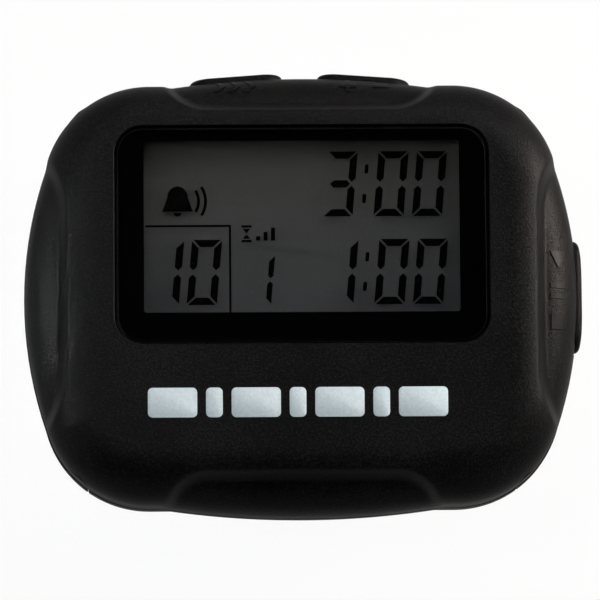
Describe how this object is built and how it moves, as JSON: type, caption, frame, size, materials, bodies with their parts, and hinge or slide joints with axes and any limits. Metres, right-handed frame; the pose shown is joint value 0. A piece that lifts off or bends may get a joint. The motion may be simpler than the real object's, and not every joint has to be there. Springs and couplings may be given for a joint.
{
  "type": "gym round timer",
  "caption": "Clip-on interval timer: a rounded black case with a segment display in a clear window, push buttons on its top and side, a battery door and a sprung belt clip.",
  "frame": {"origin": "centre of the case in plan, on the outer face of the belt clip that the timer lies on", "axes": "+X to the start button at the right of the display, +Y to the two top buttons, +Z out of the display"},
  "size_m": [0.0646, 0.0516, 0.023],
  "materials": {
    "case_plastic": "fine spark texture, satin black",
    "clip_plastic": "satin black",
    "button_rubber": "matte black",
    "window_plastic": "polished, with a black printed border",
    "panel_glass": "matt polariser",
    "reflector_foil": "matt foil",
    "frame_plastic": "moulded",
    "elastomer": "striped elastomer",
    "board_laminate": "solder mask",
    "resin": "cured drop",
    "chip_body": "fired",
    "component_plastic": "moulded",
    "plunger_plastic": "moulded",
    "cell_can": "printed sleeve",
    "bright_steel": "nickel plated",
    "dark_steel": "black oxide"
  },
  "bodies": {
    "case": {"front_shell": "case_plastic", "display_window": "window_plastic", "lcd_front_glass": "panel_glass", "lcd_rear_glass": "panel_glass", "lcd_reflector": "reflector_foil", "lcd_frame": "frame_plastic", "zebra_connector": "elastomer", "circuit_board": "board_laminate", "controller_blob": "resin", "quartz_crystal": "bright_steel", "chip_capacitors": "chip_body", "buzzer": "component_plastic", "vibration_motor": "bright_steel", "tact_switches": "component_plastic", "battery_cell": "cell_can", "negative_spring": "bright_steel", "negative_contact": "bright_steel", "positive_contact": "bright_steel", "rear_shell": "case_plastic", "case_screws": "dark_steel", "board_screws": "bright_steel", "clip_bracket": "bright_steel", "clip_pin": "bright_steel", "clip_spring": "bright_steel"},
    "next": {"next_button": "button_rubber", "next_plunger": "plunger_plastic"},
    "change": {"change_button": "button_rubber", "change_plunger": "plunger_plastic"},
    "start": {"start_button": "button_rubber", "start_plunger": "plunger_plastic"},
    "door": {"battery_door": "case_plastic"},
    "clip": {"clip_lever": "clip_plastic"}
  },
  "joints": [
    {"name": "next_press", "type": "slide", "parent": "case", "child": "next", "axis": [0, -1, 0], "range_m": [0, 0.0005], "stiffness_N_per_m": 1500, "springref_m": -0.0004},
    {"name": "change_press", "type": "slide", "parent": "case", "child": "change", "axis": [0, -1, 0], "range_m": [0, 0.0005], "stiffness_N_per_m": 1500, "springref_m": -0.0004},
    {"name": "start_press", "type": "slide", "parent": "case", "child": "start", "axis": [-1, 0, 0], "range_m": [0, 0.0005], "stiffness_N_per_m": 1500, "springref_m": -0.0004},
    {"name": "door_slide", "type": "slide", "parent": "case", "child": "door", "axis": [0, -1, 0], "range_m": [0, 0.022]},
    {"name": "clip_hinge", "type": "hinge", "parent": "case", "child": "clip", "pos_m": [0, 0.012, 0.0042], "axis": [1, 0, 0], "range_deg": [0, 15], "stiffness_Nm_per_rad": 0.05, "springref_deg": -17.19, "deforming": ["clip_spring"]}
  ]
}
